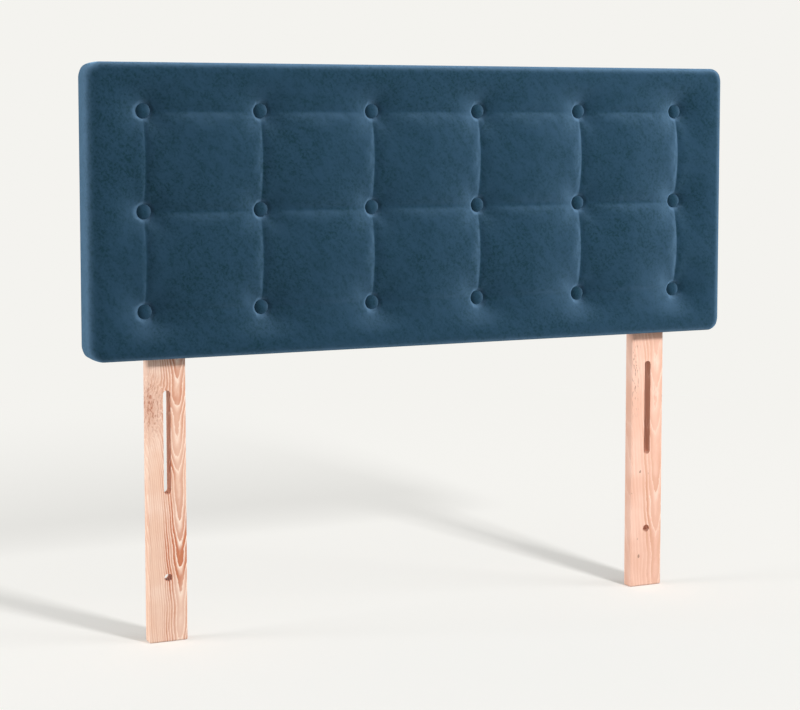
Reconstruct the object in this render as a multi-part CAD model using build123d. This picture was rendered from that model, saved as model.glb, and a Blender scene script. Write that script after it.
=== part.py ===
from build123d import *
import math
import os

# An upholstered headboard on two slotted wooden legs, in millimetres.
# +X is to the right as seen from the bed, -Y is the upholstered front and +Z is up.
# The origin lies midway between the two round bed bolt holes, on the front faces of the legs.

# Whole panel
panel_width = 1000.0
panel_height = 402.0
panel_clearance_height = 398.0  # floor to the underside of the panel
panel_corner_radius = 21.0

# Layers of the panel, from the front
cover_thickness = 1.0
foam_thickness = 20.0
face_board_thickness = 9.0
cloth_thickness = 0.6

# Legs
leg_width = 55.0
leg_thickness = 20.0
leg_edge_radius = 2.5
leg_side_clearance = 0.5
leg_head_gap = 29.0  # top of the leg to the top rail, with the panel at its lowest
slot_width = 10.5
bed_slot_length = 145.0
bed_slot_drop = 46.0  # underside of the panel to the top of the slot
bed_hole_diameter = 11.0
bed_hole_height = 90.5  # above the floor

# Clamp slots, which the panel covers
clamp_height = 60.0  # underside of the panel to the lower clamp bolt
slot_end_clearance = 1.0
slot_bridge = 17.5  # wood between the two clamp slots
leg_head_length = 33.75  # wood above the upper clamp slot

# Clamp bolts, washers and tee nuts
bolt_diameter = 8.0
bolt_head_diameter = 17.0
bolt_head_height = 3.0
bolt_head_chamfer = 0.6
bolt_socket_width = 5.0
bolt_socket_depth = 2.0
bolt_end_gap = 1.0  # front of the face board to the end of the bolt
washer_diameter = 24.0
washer_thickness = 2.0
washer_clearance = 0.4
nut_flange_diameter = 22.0
nut_flange_thickness = 1.5
nut_wall = 1.0
nut_thread_clearance = 0.1
nut_hole_clearance = 0.1

# Frame behind the face board
rail_width = 42.0
guide_width = 30.0
centre_stile_width = 42.0
screw_diameter = 3.5
screw_length = 25.0
screw_head_diameter = 8.0
screw_head_height = 2.8
screw_point_length = 4.0
screw_clearance = 0.05
screw_pitch = 170.0
screw_end_distance = 16.0

# Tufting
column_count = 6
row_count = 3
side_margin = 80.0  # side of the panel to the outer buttons
end_margin = 65.0  # top or underside of the panel to the nearest buttons
edge_rounding_width = 13.0
edge_rounding_radius = 14.5
edge_overrun = 1.0
seam_crease_depth = 4.5  # upright crease, halfway between two buttons
button_crease_depth = 9.0  # upright crease, beside a button
row_crease_depth = 2.5
border_crease_depth = 0.8
pillow_crown = 1.2
border_crown = 0.4
shoulder_width = 26.0
shoulder_bulge = 0.6

# Buttons and what holds them
button_diameter = 20.5
button_seat_depth = 19.0  # front of the panel to the cover under the button
button_rim_height = 2.6
button_rim_rounding = 0.9
button_dome_height = 3.0
button_clearance = 0.8
pit_mouth_radius = 19.0
shank_diameter = 6.0
shank_clearance = 0.1
twine_diameter = 2.0
twine_hole_diameter = 3.0
anchor_diameter = 8.0
anchor_thickness = 2.0
anchor_recess_clearance = 0.5
anchor_recess_wall = 1.5  # wood between an anchor's recess and the leg's channel

# Back
cover_return_width = 30.0
cloth_inset = 20.0
cloth_leg_gap = 3.0
cloth_head_gap = 6.0
staple_width = 11.0
staple_wire = 0.9
staple_leg_length = 7.0
staple_pitch = 68.0
staple_edge_distance = 5.0  # edge of the cloth to the staple
staple_corner_distance = 45.0  # corner of a run of staples to its first staple
staple_clearance = 0.05

# One overrun serves every cut
cut_overrun = 2.0

# How far a button row reaches, as a share of the row spacing, and how strongly it still shows there
row_reach_share = 0.18
row_edge_share = 0.3
# Places of two more sections within the rounding along the top and the underside
rounding_place_shares = (0.12, 0.42)

# Levels, widths and depths worked out from the sizes above
floor_z = -bed_hole_height
panel_bottom_z = floor_z + panel_clearance_height
panel_top_z = panel_bottom_z + panel_height
panel_middle_z = (panel_bottom_z + panel_top_z) / 2
board_front_y = -face_board_thickness
front_y = board_front_y - foam_thickness - cover_thickness
frame_back_y = leg_thickness - cloth_thickness - cover_thickness
cover_back_y = frame_back_y + cover_thickness
seat_y = front_y + button_seat_depth
core_width = panel_width - 2 * cover_thickness
core_height = panel_height - 2 * cover_thickness
core_corner_radius = panel_corner_radius - cover_thickness
core_bottom_z = panel_bottom_z + cover_thickness
core_top_z = panel_top_z - cover_thickness
rail_bottom_z = core_top_z - rail_width

# Buttons stand in an even grid, and each leg stands just inside the outer column of them
column_spacing = (panel_width - 2 * side_margin) / (column_count - 1)
row_spacing = (panel_height - 2 * end_margin) / (row_count - 1)
column_xs = [(i - (column_count - 1) / 2) * column_spacing for i in range(column_count)]
row_zs = [panel_middle_z + (j - (row_count - 1) / 2) * row_spacing for j in range(row_count)]
button_places = [(x, z) for z in row_zs for x in column_xs]
anchor_recess_diameter = anchor_diameter + 2 * anchor_recess_clearance
channel_outer_x = column_xs[-1] - anchor_recess_diameter / 2 - anchor_recess_wall
leg_x = channel_outer_x - leg_side_clearance - leg_width / 2
channel_inner_x = leg_x - leg_width / 2 - leg_side_clearance
leg_room = leg_width / 2 + leg_side_clearance
leg_xs = (-leg_x, leg_x)

# The clamp slots share what height the leg has inside the panel, and give the panel its travel
slot_end = slot_width / 2 + slot_end_clearance
leg_top_z = rail_bottom_z - leg_head_gap
clamp_z = panel_bottom_z + clamp_height
panel_travel = (leg_top_z - clamp_z - leg_head_length - slot_bridge - 3 * slot_end) / 2
clamp_pitch = panel_travel + 2 * slot_end + slot_bridge
clamp_zs = (clamp_z, clamp_z + clamp_pitch)
clamp_places = [(x, z) for x in leg_xs for z in clamp_zs]
nut_bore_diameter = bolt_diameter + 2 * nut_thread_clearance
nut_barrel_diameter = nut_bore_diameter + 2 * nut_wall
print("panel travel", panel_travel, "leg spacing", 2 * leg_x, "leg length", leg_top_z - floor_z)


def board(outline, near_y, far_y):
    """A flat sketch in X and Z, stood up as a board between two depths."""
    return Pos(0, far_y, 0) * extrude(Plane.XZ * outline, far_y - near_y)


def bar(x0, x1, z0, z1, near_y=0, far_y=frame_back_y):
    """A square-edged length of wood between two sides and two levels."""
    outline = Pos((x0 + x1) / 2, (z0 + z1) / 2) * Rectangle(x1 - x0, z1 - z0)
    return board(outline, near_y, far_y)


def plate(width, height, radius, near_y, far_y):
    """A rounded rectangle about the middle of the panel."""
    outline = Pos(0, panel_middle_z) * RectangleRounded(width, height, radius)
    return board(outline, near_y, far_y)


def at_places(piece, places):
    """Copies of one piece, one at each (x, z)."""
    return [Pos(x, 0, z) * piece for x, z in places]


def pins(diameter, near_y, far_y, places):
    """Round pins or holes along Y, one at each (x, z)."""
    one = Pos(0, (near_y + far_y) / 2, 0) * Rot(90, 0, 0) * Cylinder(diameter / 2, far_y - near_y)
    return at_places(one, places)


def turned(points):
    """A closed outline of (radius, y) points, turned about the Y axis."""
    return revolve(make_face(Polyline(*points, close=True)), Axis.Y)


def evenly(start, end, pitch):
    """Places from start to end, as near to the pitch as whole steps allow."""
    steps = max(1, round(abs(end - start) / pitch))
    return [start + (end - start) * i / steps for i in range(steps + 1)]


def save(name, pieces):
    """Writes one node, as one solid or as a group of separate solids."""
    group = pieces if isinstance(pieces, list) else [pieces]
    solids = [solid for piece in group for solid in piece.solids()]
    node = solids[0] if len(solids) == 1 else Compound(children=solids)
    node.label = name
    export_step(node, os.path.join("parts", name + ".step"))
    print(name, len(solids), "solids", round(sum(solid.volume for solid in solids)), "mm3")


# Padded front


def rounding_depth(inside):
    """How far the rounded edge lies behind the front, this far inside the panel's outline."""
    return edge_rounding_radius - math.sqrt(edge_rounding_radius**2 - (edge_rounding_width - inside) ** 2)


def section_levels(bottom_z, top_z):
    """(level, set back by the edge rounding, nearness to a button row, on the border) in order."""
    places = [-edge_overrun]
    places += [share * edge_rounding_width for share in rounding_place_shares]
    places.append(edge_rounding_width)
    levels = []
    for place in places:
        depth = rounding_depth(place)
        levels += [(bottom_z + place, depth, 0, True), (top_z - place, depth, 0, True)]
    for z in row_zs:
        levels.append((z, 0, 1, False))
        reach = row_reach_share * row_spacing
        levels += [(z - reach, 0, row_edge_share, False), (z + reach, 0, row_edge_share, False)]
    levels += [((low + high) / 2, 0, 0, False) for low, high in zip(row_zs, row_zs[1:])]
    return sorted(levels)


def front_section(level, inset):
    """The closed outline of the padded panel at one level, set inwards by inset all round."""
    z, set_back, near, on_border = level
    surface_y = front_y + inset + set_back
    rounding_x = panel_width / 2 - inset - edge_rounding_width
    crown = border_crown if on_border else pillow_crown
    seam = border_crease_depth if on_border else seam_crease_depth
    crease = seam + (button_crease_depth - seam_crease_depth) * near
    shoulder = crown + row_crease_depth * near

    def arc(start, end, bulge):
        (x0, depth0), (x1, depth1) = start, end
        middle_y = surface_y + (depth0 + depth1) / 2 - bulge
        points = ((x0, surface_y + depth0, z), ((x0 + x1) / 2, middle_y, z), (x1, surface_y + depth1, z))
        return ThreePointArc(*points)

    def edge_arc(side):
        places = (-edge_overrun, (edge_rounding_width - edge_overrun) / 2, edge_rounding_width)
        xs = [side * (rounding_x + edge_rounding_width - place) for place in places]
        points = [(x, surface_y + rounding_depth(place), z) for x, place in zip(xs, places)]
        return ThreePointArc(*(points if side < 0 else points[::-1]))

    left_x, right_x = column_xs[0] - shoulder_width, column_xs[-1] + shoulder_width
    edges = [edge_arc(-1), arc((-rounding_x, 0), (left_x, shoulder), border_crown)]
    for x in column_xs:
        before, after = (x - shoulder_width, shoulder), (x + shoulder_width, shoulder)
        edges.append(arc(before, (x, crease), shoulder_bulge))
        edges.append(arc((x, crease), after, shoulder_bulge))
        if x < column_xs[-1]:
            edges.append(arc(after, (x + column_spacing - shoulder_width, shoulder), crown))
    edges += [arc((right_x, shoulder), (rounding_x, 0), border_crown), edge_arc(1)]
    right, left = edges[-1] @ 1, edges[0] @ 0
    behind_y = leg_thickness + cut_overrun
    corners = (right, (right.X, behind_y, z), (left.X, behind_y, z), left)
    edges += [Line(start, end) for start, end in zip(corners, corners[1:])]
    return Wire(edges)


def pit_cutters(inset):
    """A flared pit for each button, from its seat out past the front."""
    seat_radius = button_diameter / 2 + button_clearance + inset
    mouth_radius = pit_mouth_radius + inset
    out_radius = mouth_radius + (mouth_radius - seat_radius) * cut_overrun / button_seat_depth
    bottom_y, out_y = seat_y + inset, front_y + inset - cut_overrun
    pit = turned([(0, bottom_y), (seat_radius, bottom_y), (out_radius, out_y), (0, out_y)])
    return at_places(pit, button_places)


def padded_form(inset, back_y):
    """The tufted panel, set inwards by inset, from its front back to back_y."""
    levels = section_levels(panel_bottom_z + inset, panel_top_z - inset)
    form = Solid.make_loft([front_section(level, inset) for level in levels])
    width, height = panel_width - 2 * inset, panel_height - 2 * inset
    envelope = plate(width, height, panel_corner_radius - inset, front_y - cut_overrun, back_y)
    return (envelope & form) - pit_cutters(inset)


# Cover, pad and board


def shank_holes(far_y):
    """Holes for the button shanks, from inside each pit back to far_y."""
    return pins(shank_diameter + 2 * shank_clearance, seat_y - cut_overrun, far_y, button_places)


def make_cover(inner_form):
    """The velvet cover: a skin over the padded form, turned in round the back."""
    window_size = (panel_width - 2 * cover_return_width, panel_height - 2 * cover_return_width)
    window = plate(*window_size, panel_corner_radius, 0, cover_back_y + cut_overrun)
    low, behind_y = panel_bottom_z - cut_overrun, leg_thickness + cut_overrun
    notches = [bar(x - leg_room, x + leg_room, low, rail_bottom_z, 0, behind_y) for x in leg_xs]
    skin = padded_form(0, cover_back_y) - inner_form
    return skin - window - notches - shank_holes(board_front_y) - staple_holes(staple_places)


def make_foam(inner_form):
    """The foam pad: all of the padded form in front of the face board."""
    in_front = plate(panel_width, panel_height, panel_corner_radius, front_y - cut_overrun, board_front_y)
    return (inner_form & in_front) - shank_holes(board_front_y + cut_overrun)


def make_face_board():
    """The plywood board, drilled for the twines, the tee nuts and the frame screws."""
    whole = plate(core_width, core_height, core_corner_radius, board_front_y, 0)
    before_y, behind_y = board_front_y - cut_overrun, cut_overrun
    cuts = pins(twine_hole_diameter, before_y, behind_y, button_places)
    cuts += pins(nut_barrel_diameter + 2 * nut_hole_clearance, before_y, behind_y, clamp_places)
    recess = nut_flange_diameter + 2 * nut_hole_clearance
    cuts += pins(recess, before_y, board_front_y + nut_flange_thickness, clamp_places)
    return whole - cuts - at_places(frame_screw(screw_clearance, cut_overrun), screw_places)


# Frame


def frame_screw(clearance=0, overrun=0):
    """A countersunk screw through the face board, or the hole for one with a clearance."""
    head, shank = screw_head_diameter / 2 + clearance, screw_diameter / 2 + clearance
    flare = (head - shank) * overrun / screw_head_height
    start_y, tip_y = board_front_y - overrun, board_front_y + screw_length
    outline = [(0, start_y), (head + flare, start_y), (shank, board_front_y + screw_head_height)]
    return turned(outline + [(shank, tip_y - screw_point_length), (0, tip_y + clearance)])


def across(x0, x1, z):
    """Screw places along a rail."""
    return [(x, z) for x in evenly(x0 + screw_end_distance, x1 - screw_end_distance, screw_pitch)]


def upright(x, z0, z1):
    """Screw places up a stile."""
    return [(x, z) for z in evenly(z0 + screw_end_distance, z1 - screw_end_distance, screw_pitch)]


def frame_bars():
    """Each length of the frame by name: its blank, and the places of its screws."""
    side_x, low, high = core_width / 2, core_bottom_z + rail_width, rail_bottom_z
    bars = {
        "frame_top_rail": (
            bar(-side_x, side_x, high, core_top_z),
            across(-side_x, side_x, high + rail_width / 2),
        ),
        "frame_bottom_rail": (
            bar(-channel_inner_x, channel_inner_x, core_bottom_z, low),
            across(-channel_inner_x, channel_inner_x, low - rail_width / 2),
        ),
        "frame_centre_stile": (
            bar(-centre_stile_width / 2, centre_stile_width / 2, low, high),
            upright(0, low, high),
        ),
    }
    stile_x = (side_x + channel_outer_x) / 2
    stile_half = (side_x - channel_outer_x) / 2
    guide_x = channel_inner_x - guide_width / 2
    for name, side in (("left", -1), ("right", 1)):
        stile = bar(side * stile_x - stile_half, side * stile_x + stile_half, core_bottom_z, high)
        bars[f"frame_{name}_stile"] = (stile, upright(side * stile_x, core_bottom_z, high))
        guide = bar(side * guide_x - guide_width / 2, side * guide_x + guide_width / 2, low, high)
        bars[f"{name}_leg_guide"] = (guide, upright(side * guide_x, low, high))
    return bars


def over_stile(x):
    """Whether a twine at this place runs through a stile rather than into the hollow of the frame."""
    return abs(x) > channel_outer_x


def finish_bar(blank, screws):
    """One length of the frame, rounded at the panel's corners and drilled for what passes through."""
    rounded = blank & plate(core_width, core_height, core_corner_radius, 0, frame_back_y)
    stile_places = [place for place in button_places if over_stile(place[0])]
    cuts = pins(twine_hole_diameter, -cut_overrun, frame_back_y + cut_overrun, stile_places)
    recess_y = frame_back_y - anchor_thickness
    cuts += pins(anchor_recess_diameter, recess_y, frame_back_y + cut_overrun, stile_places)
    return rounded - at_places(frame_screw(screw_clearance), screws) - cuts - staple_holes(staple_places)


# Legs and clamp hardware


def slot_cutter(x, bottom_z, top_z):
    """An upright slot with round ends, cut right through a leg."""
    outline = Pos(x, (bottom_z + top_z) / 2) * SlotOverall(top_z - bottom_z, slot_width, rotation=90)
    return board(outline, -cut_overrun, leg_thickness + cut_overrun)


def make_leg(x):
    """One leg: a bed slot, a bed bolt hole and two clamp slots."""
    blank = bar(x - leg_width / 2, x + leg_width / 2, floor_z, leg_top_z, 0, leg_thickness)
    slot_top_z = panel_bottom_z - bed_slot_drop
    cuts = [slot_cutter(x, slot_top_z - bed_slot_length, slot_top_z)]
    cuts += [slot_cutter(x, z - slot_end, z + panel_travel + slot_end) for z in clamp_zs]
    cuts += pins(bed_hole_diameter, -cut_overrun, leg_thickness + cut_overrun, [(x, 0)])
    return fillet(blank.edges(), leg_edge_radius) - cuts


def clamp_bolt():
    """A low-headed bolt with a hexagon socket, entered from the back."""
    head_y = leg_thickness + washer_thickness
    top_y, end_y = head_y + bolt_head_height, board_front_y + bolt_end_gap
    head, shank = bolt_head_diameter / 2, bolt_diameter / 2
    outline = [(0, end_y), (shank, end_y), (shank, head_y), (head, head_y)]
    outline += [(head, top_y - bolt_head_chamfer), (head - bolt_head_chamfer, top_y), (0, top_y)]
    blank = turned(outline)
    socket = RegularPolygon(bolt_socket_width / 2, 6, major_radius=False)
    return blank - board(socket, top_y - bolt_socket_depth, top_y + cut_overrun)


def clamp_washer():
    """A wide flat washer on the back of the leg."""
    inner, outer = bolt_diameter / 2 + washer_clearance, washer_diameter / 2
    far_y = leg_thickness + washer_thickness
    return turned([(inner, leg_thickness), (outer, leg_thickness), (outer, far_y), (inner, far_y)])


def tee_nut():
    """A flanged nut let into the front of the face board."""
    bore, barrel, flange = nut_bore_diameter / 2, nut_barrel_diameter / 2, nut_flange_diameter / 2
    step_y = board_front_y + nut_flange_thickness
    outline = [(bore, board_front_y), (flange, board_front_y), (flange, step_y)]
    return turned(outline + [(barrel, step_y), (barrel, 0), (bore, 0)])


# Buttons


def make_button():
    """A domed button on a short shank."""
    radius, shank = button_diameter / 2, shank_diameter / 2
    rim_y = seat_y - button_rim_height
    dome_y = rim_y - button_dome_height
    dome_radius = (radius**2 + button_dome_height**2) / (2 * button_dome_height)
    dome_middle_y = dome_y + dome_radius - math.sqrt(dome_radius**2 - (radius / 2) ** 2)
    corner = button_rim_rounding * (1 - math.sqrt(1 / 2))
    rim_start, rim_end = (radius - button_rim_rounding, seat_y), (radius, seat_y - button_rim_rounding)
    outline = [
        Polyline((0, dome_y), (0, board_front_y), (shank, board_front_y), (shank, seat_y), rim_start),
        ThreePointArc(rim_start, (radius - corner, seat_y - corner), rim_end),
        Line(rim_end, (radius, rim_y)),
        ThreePointArc((radius, rim_y), (radius / 2, dome_middle_y), (0, dome_y)),
    ]
    return revolve(make_face(outline), Axis.Y)


def anchor_front_y(x):
    """The face that a twine's anchor bears on: the back of the board, or a recess in a stile."""
    return frame_back_y - anchor_thickness if over_stile(x) else 0


# Back cloth and staples


def make_back_cloth():
    """One sheet over the hollow frame, cut out round the legs."""
    size = (panel_width - 2 * cloth_inset, panel_height - 2 * cloth_inset)
    room, top_z = leg_width / 2 + cloth_leg_gap, leg_top_z + cloth_head_gap
    near_y, far_y = cover_back_y - cut_overrun, leg_thickness + cut_overrun
    notches = [bar(x - room, x + room, panel_bottom_z, top_z, near_y, far_y) for x in leg_xs]
    whole = plate(*size, panel_corner_radius, cover_back_y, leg_thickness)
    return whole - notches - staple_holes(staple_places)


def staple_runs():
    """(x, z, turned upright) of each staple: round the cloth, and down the leg guides."""
    from_edge = cloth_inset + staple_edge_distance
    side_x, low, high = panel_width / 2 - from_edge, panel_bottom_z + from_edge, panel_top_z - from_edge
    top_x, bottom_x = side_x - staple_corner_distance, channel_inner_x - staple_corner_distance
    guide_x = leg_x - leg_width / 2 - cloth_leg_gap - staple_edge_distance
    places = [(x, high, False) for x in evenly(-top_x, top_x, staple_pitch)]
    places += [(x, low, False) for x in evenly(-bottom_x, bottom_x, staple_pitch)]
    for z in evenly(low + staple_corner_distance, high - staple_corner_distance, staple_pitch):
        places += [(x, z, True) for x in (-side_x, -guide_x, guide_x, side_x)]
    return places


def staple(clearance=0):
    """A wire staple driven in from the back, or the holes for its legs with a clearance."""
    half, wire = staple_width / 2 + clearance, staple_wire + 2 * clearance
    tip_y, crown_y = leg_thickness - staple_leg_length - clearance, leg_thickness + staple_wire
    inner = half - wire
    outline = [(half, tip_y), (half, crown_y), (-half, crown_y), (-half, tip_y)]
    outline += [(-inner, tip_y), (-inner, leg_thickness), (inner, leg_thickness), (inner, tip_y)]
    return Pos(0, 0, -wire / 2) * extrude(make_face(Polyline(*outline, close=True)), wire)


def staple_copies(piece, places):
    """The piece at each staple place, upright where the staple is."""
    return [Pos(x, 0, z) * Rot(0, 90 if is_upright else 0, 0) * piece for x, z, is_upright in places]


def staple_holes(places):
    """Holes for the legs of the staples."""
    return staple_copies(staple(staple_clearance), places)


os.makedirs("parts", exist_ok=True)
staple_places = staple_runs()
frame = frame_bars()
screw_places = [place for _, places in frame.values() for place in places]

for name, x in (("left", -leg_x), ("right", leg_x)):
    save(f"{name}_leg", make_leg(x))
    places = [(x, z) for z in clamp_zs]
    save(f"{name}_clamp_bolts", at_places(clamp_bolt(), places))
    save(f"{name}_clamp_washers", at_places(clamp_washer(), places))
    save(f"{name}_tee_nuts", at_places(tee_nut(), places))

for name, (blank, screws) in frame.items():
    save(name, finish_bar(blank, screws))
save("face_board", make_face_board())
save("frame_screws", at_places(frame_screw(), screw_places))

button = make_button()
for row, z in enumerate(reversed(row_zs), 1):
    for column, x in enumerate(column_xs, 1):
        save(f"button_row{row}_column{column}", Pos(x, 0, z) * button)
twines = [pins(twine_diameter, board_front_y, anchor_front_y(x), [(x, z)])[0] for x, z in button_places]
save("button_twines", twines)
anchors = [
    pins(anchor_diameter, anchor_front_y(x), anchor_front_y(x) + anchor_thickness, [(x, z)])[0]
    for x, z in button_places
]
save("twine_anchors", anchors)

save("back_cloth", make_back_cloth())
save("staples", staple_copies(staple(), staple_places))
inner_form = padded_form(cover_thickness, frame_back_y)
save("foam_pad", make_foam(inner_form))
save("velvet_cover", make_cover(inner_form))
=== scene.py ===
# %% [markdown]
# # A tufted velvet headboard on two slotted legs
#
# The real object is a padded board, one metre wide, that slides up and down on two larch legs.
# Velvet is pulled over foam and drawn in by eighteen covered buttons, so that the front divides
# into soft square pillows. This file gives that construction its looks, one piece at a time.
# Lengths are in metres. +X is to the right, -Y is the upholstered front and +Z is up.

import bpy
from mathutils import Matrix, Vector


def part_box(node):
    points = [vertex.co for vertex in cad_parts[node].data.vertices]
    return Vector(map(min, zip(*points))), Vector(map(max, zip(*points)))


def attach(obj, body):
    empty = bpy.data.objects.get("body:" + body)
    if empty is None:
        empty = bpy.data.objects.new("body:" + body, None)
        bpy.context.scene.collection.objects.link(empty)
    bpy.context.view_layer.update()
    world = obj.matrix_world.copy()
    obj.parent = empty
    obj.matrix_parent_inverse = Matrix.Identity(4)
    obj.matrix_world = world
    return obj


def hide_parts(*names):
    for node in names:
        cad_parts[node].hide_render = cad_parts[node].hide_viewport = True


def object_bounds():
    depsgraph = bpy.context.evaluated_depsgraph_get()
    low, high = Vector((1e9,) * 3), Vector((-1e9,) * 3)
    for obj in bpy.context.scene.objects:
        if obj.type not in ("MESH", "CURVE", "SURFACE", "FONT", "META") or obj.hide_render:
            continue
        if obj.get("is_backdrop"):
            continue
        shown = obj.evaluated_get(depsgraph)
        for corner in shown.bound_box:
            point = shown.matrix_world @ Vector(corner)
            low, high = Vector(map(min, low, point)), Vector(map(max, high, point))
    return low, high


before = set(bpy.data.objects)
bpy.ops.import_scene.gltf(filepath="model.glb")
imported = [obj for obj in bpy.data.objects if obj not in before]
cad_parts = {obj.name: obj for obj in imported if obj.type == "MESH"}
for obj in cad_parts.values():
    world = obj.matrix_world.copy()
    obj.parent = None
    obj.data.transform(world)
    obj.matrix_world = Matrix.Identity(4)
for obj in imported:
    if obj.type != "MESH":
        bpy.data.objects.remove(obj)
cad_low, cad_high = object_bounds()
print("loaded", len(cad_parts), "nodes, box", tuple(cad_low), tuple(cad_high))

# %% What the rest of the file uses
import math
from contextlib import contextmanager

import bpy
import numpy as np

MM = 0.001
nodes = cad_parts

# %% [markdown]
# ## Measures taken from the frame
#
# Everything new has to sit on what is already there, so its places are read from the frame: the
# panel from the box of its cover, the tufting grid from the buttons, and the floor from the legs.

# %% Panel, tufting grid and floor
panel_low, panel_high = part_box("velvet_cover")
panel_width = panel_high.x - panel_low.x
panel_height = panel_high.z - panel_low.z
panel_middle_z = (panel_low.z + panel_high.z) / 2
row_count, column_count = 3, 6


def middle(node):
    """The middle of a node's box."""
    low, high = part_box(node)
    return (low + high) / 2


column_xs = [middle(f"button_row1_column{c}").x for c in range(1, column_count + 1)]
row_zs = sorted(middle(f"button_row{r}_column1").z for r in range(1, row_count + 1))
floor_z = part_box("left_leg")[0].z
leg_low, leg_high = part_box("right_leg")
print("columns", np.round(column_xs, 3), "rows", np.round(row_zs, 3), "floor", round(floor_z, 4))

# %% [markdown]
# ## Small tools for modelling
#
# Blender's operators act on whatever is selected, so each step first clears the selection. A
# finished piece keeps its place in its mesh, which is what applying the transforms does. Steps in
# edit mode stand in a with block, so that object mode always follows.


# %% Selecting, cutting, applying and reading points
def clear_selection():
    bpy.ops.object.select_all(action="DESELECT")


def make_active(piece):
    """Selects one piece alone."""
    clear_selection()
    piece.select_set(True)
    bpy.context.view_layer.objects.active = piece


def settle(piece):
    """Puts a piece's place, turn and size into its mesh."""
    make_active(piece)
    bpy.ops.object.transform_apply(location=True, rotation=True, scale=True)


def read_points(piece):
    points = np.zeros(len(piece.data.vertices) * 3)
    piece.data.vertices.foreach_get("co", points)
    return points.reshape(-1, 3)


def write_points(piece, points):
    piece.data.vertices.foreach_set("co", points.astype(np.float32).ravel())
    piece.data.update()


def apply_modifier(piece, kind, **settings):
    """Adds one modifier with its settings and applies it at once."""
    make_active(piece)
    modifier = piece.modifiers.new(kind.title(), kind)
    for name, value in settings.items():
        setattr(modifier, name, value)
    bpy.ops.object.modifier_apply(modifier=modifier.name)


@contextmanager
def edit_mode():
    """Edit mode for the lines inside, and object mode again after them."""
    bpy.ops.object.mode_set(mode="EDIT")
    yield
    bpy.ops.object.mode_set(mode="OBJECT")


def select_where(piece, test):
    """Selects the faces whose test is true, and counts them."""
    with edit_mode():
        bpy.ops.mesh.select_mode(type="FACE")
        bpy.ops.mesh.select_all(action="DESELECT")
    chosen = [face for face in piece.data.polygons if test(face)]
    for face in chosen:
        face.select = True
    return len(chosen)


def cut_where(piece, test, place, way):
    """Cuts the faces whose test is true along a plane."""
    make_active(piece)
    select_where(piece, test)
    with edit_mode():
        bpy.ops.mesh.bisect(plane_co=place, plane_no=way)


def remove_where(piece, test):
    """Takes away the faces whose test is true, and counts them."""
    count = select_where(piece, test)
    with edit_mode():
        bpy.ops.mesh.delete(type="FACE")
    return count


def leg_gaps(room):
    """From where to where each leg reaches across, with room on both sides of it."""
    return [sorted((side * (leg_low.x - room), side * (leg_high.x + room))) for side in (-1, 1)]


# %% [markdown]
# ## Camera, floor and light
#
# The photograph was taken from the left with a long lens, a little above the panel's middle. Its
# uprights stay parallel, which a lens shift gives. Part of the shift is a slight tilt here, so that
# the panel stays in the picture when the camera goes round to the side or the back.

# %% Camera
camera_place = (-1.1701, -2.4983, 0.6360)
camera_turn = math.radians(24.461)
camera_tilt = math.radians(4.496)
clear_selection()
upright = math.pi / 2
bpy.ops.object.camera_add(location=camera_place, rotation=(upright - camera_tilt, 0, -camera_turn))
camera = bpy.context.object
camera.data.lens = 85.77
camera.data.sensor_width = 36
camera.data.shift_y = -0.11
bpy.context.scene.camera = camera
bpy.context.scene.view_settings.view_transform = "Standard"
print("camera at", camera_place, "lens", round(camera.data.lens, 1))

# %% [markdown]
# A node tree is easier to read when a node is made, set and joined in one call. These helpers take
# values or sockets for the inputs, and the groups below use them to build the shared effects.


# %% Making and joining nodes
def set_inputs(tree, node, inputs):
    """Joins sockets to a node's inputs, or sets them to values."""
    for key, value in inputs.items():
        if isinstance(value, bpy.types.NodeSocket):
            tree.links.new(value, node.inputs[key])
        else:
            node.inputs[key].default_value = value


def add_node(tree, kind, inputs=None, **settings):
    """One node, with its settings, and values or sockets for its inputs."""
    node = tree.nodes.new(kind)
    for name, value in settings.items():
        setattr(node, name, value)
    set_inputs(tree, node, inputs or {})
    return node


def calculate(tree, operation, first, second=0.0, third=0.0):
    """The result of a Math node."""
    inputs = {0: first, 1: second, 2: third}
    return add_node(tree, "ShaderNodeMath", inputs, operation=operation).outputs[0]


def times(tree, first, second):
    """The product of two values."""
    return calculate(tree, "MULTIPLY", first, second)


def rescale(tree, value, low, high, new_low=0.0, new_high=1.0):
    """A value's range moved to a new one, smoothly and without leaving it."""
    inputs = {"Value": value, "From Min": low, "From Max": high, "To Min": new_low, "To Max": new_high}
    return add_node(tree, "ShaderNodeMapRange", inputs, interpolation_type="SMOOTHSTEP").outputs[0]


def blend_colours(tree, share, first, second):
    """Two colours mixed by a share."""
    inputs = {0: share, 6: first, 7: second}
    return add_node(tree, "ShaderNodeMix", inputs, data_type="RGBA").outputs[2]


def combine(tree, operation, first, second, output=0):
    """The result of a Vector Math node."""
    inputs = {0: first, 3: second} if operation == "SCALE" else {0: first, 1: second}
    return add_node(tree, "ShaderNodeVectorMath", inputs, operation=operation).outputs[output]


def noise(tree, place, scale, detail=2.0, roughness=0.5):
    """A cloudy pattern from about 0 to 1."""
    inputs = {"Vector": place, "Scale": scale, "Detail": detail, "Roughness": roughness}
    return add_node(tree, "ShaderNodeTexNoise", inputs).outputs["Fac"]


def colour(red, green, blue):
    """A colour as a screen shows it, from 0 to 255, as the linear one that a shader takes."""
    shares = [channel / 255 for channel in (red, green, blue)]
    linear = [c / 12.92 if c <= 0.04045 else ((c + 0.055) / 1.055) ** 2.4 for c in shares]
    return (*linear, 1.0)


# %% [markdown]
# ## Light
#
# The shadows of the legs run back and to the left and spread apart, so the main lamp is near, to the
# right of the middle, and higher than the panel. A wide lamp at the far right turns the pillows'
# right flanks light and their left flanks dark, and one on the left lights the panel's side.

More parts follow.
